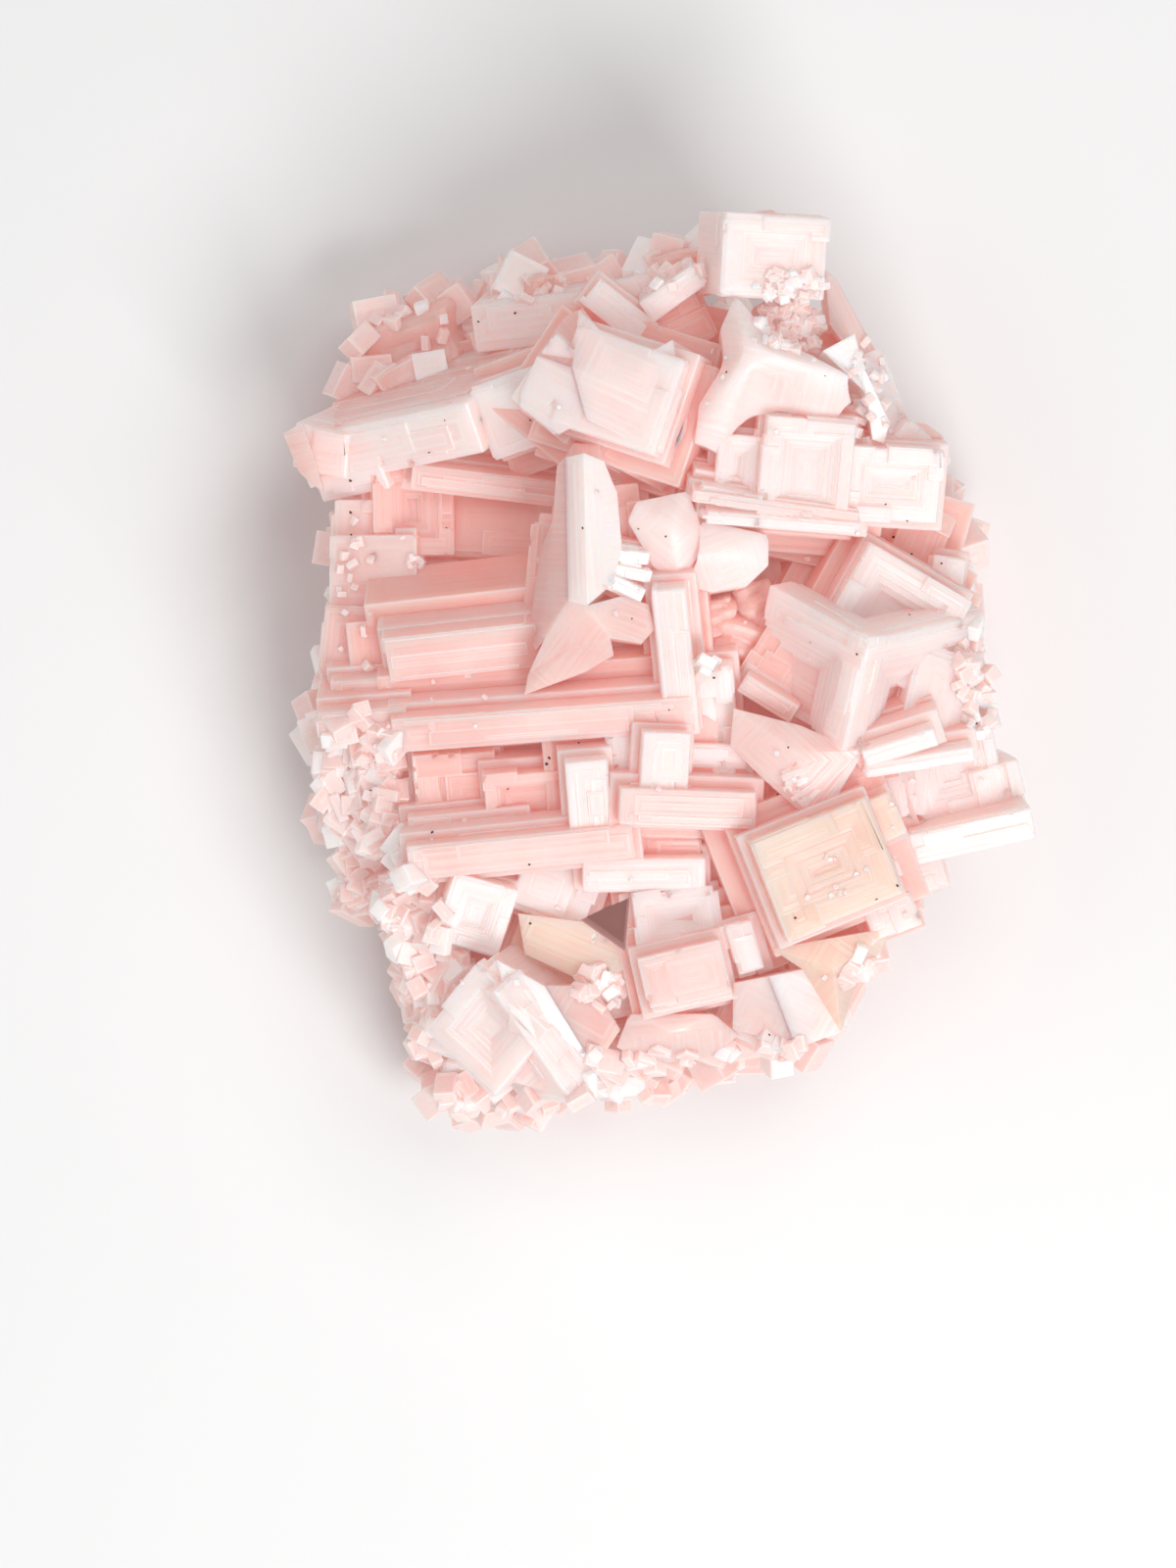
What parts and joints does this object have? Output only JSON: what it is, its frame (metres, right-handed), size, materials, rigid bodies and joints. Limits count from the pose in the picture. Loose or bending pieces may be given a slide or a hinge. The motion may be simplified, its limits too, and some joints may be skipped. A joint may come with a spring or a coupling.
{
  "type": "halite cubic crystal",
  "caption": "Hand-sized cluster of intergrown pale pink salt cubes with sunken stepped faces, cut flat at the back to lie on a surface.",
  "frame": {"origin": "middle of the bounding box in X and Y, on the flat cut back at z = 0", "axes": "+Z out of the crystal-covered face, away from the cut back; +Y along the specimen's longest side, towards the tall cube at its top; +X to the right of the display face"},
  "size_m": [0.1099, 0.1353, 0.0667],
  "materials": {
    "halite": "milky translucent pale pink salt, glossy on fresh faces and frosted on the stepped ones"
  },
  "bodies": {
    "root": {"halite_cluster": "halite"}
  },
  "joints": []
}
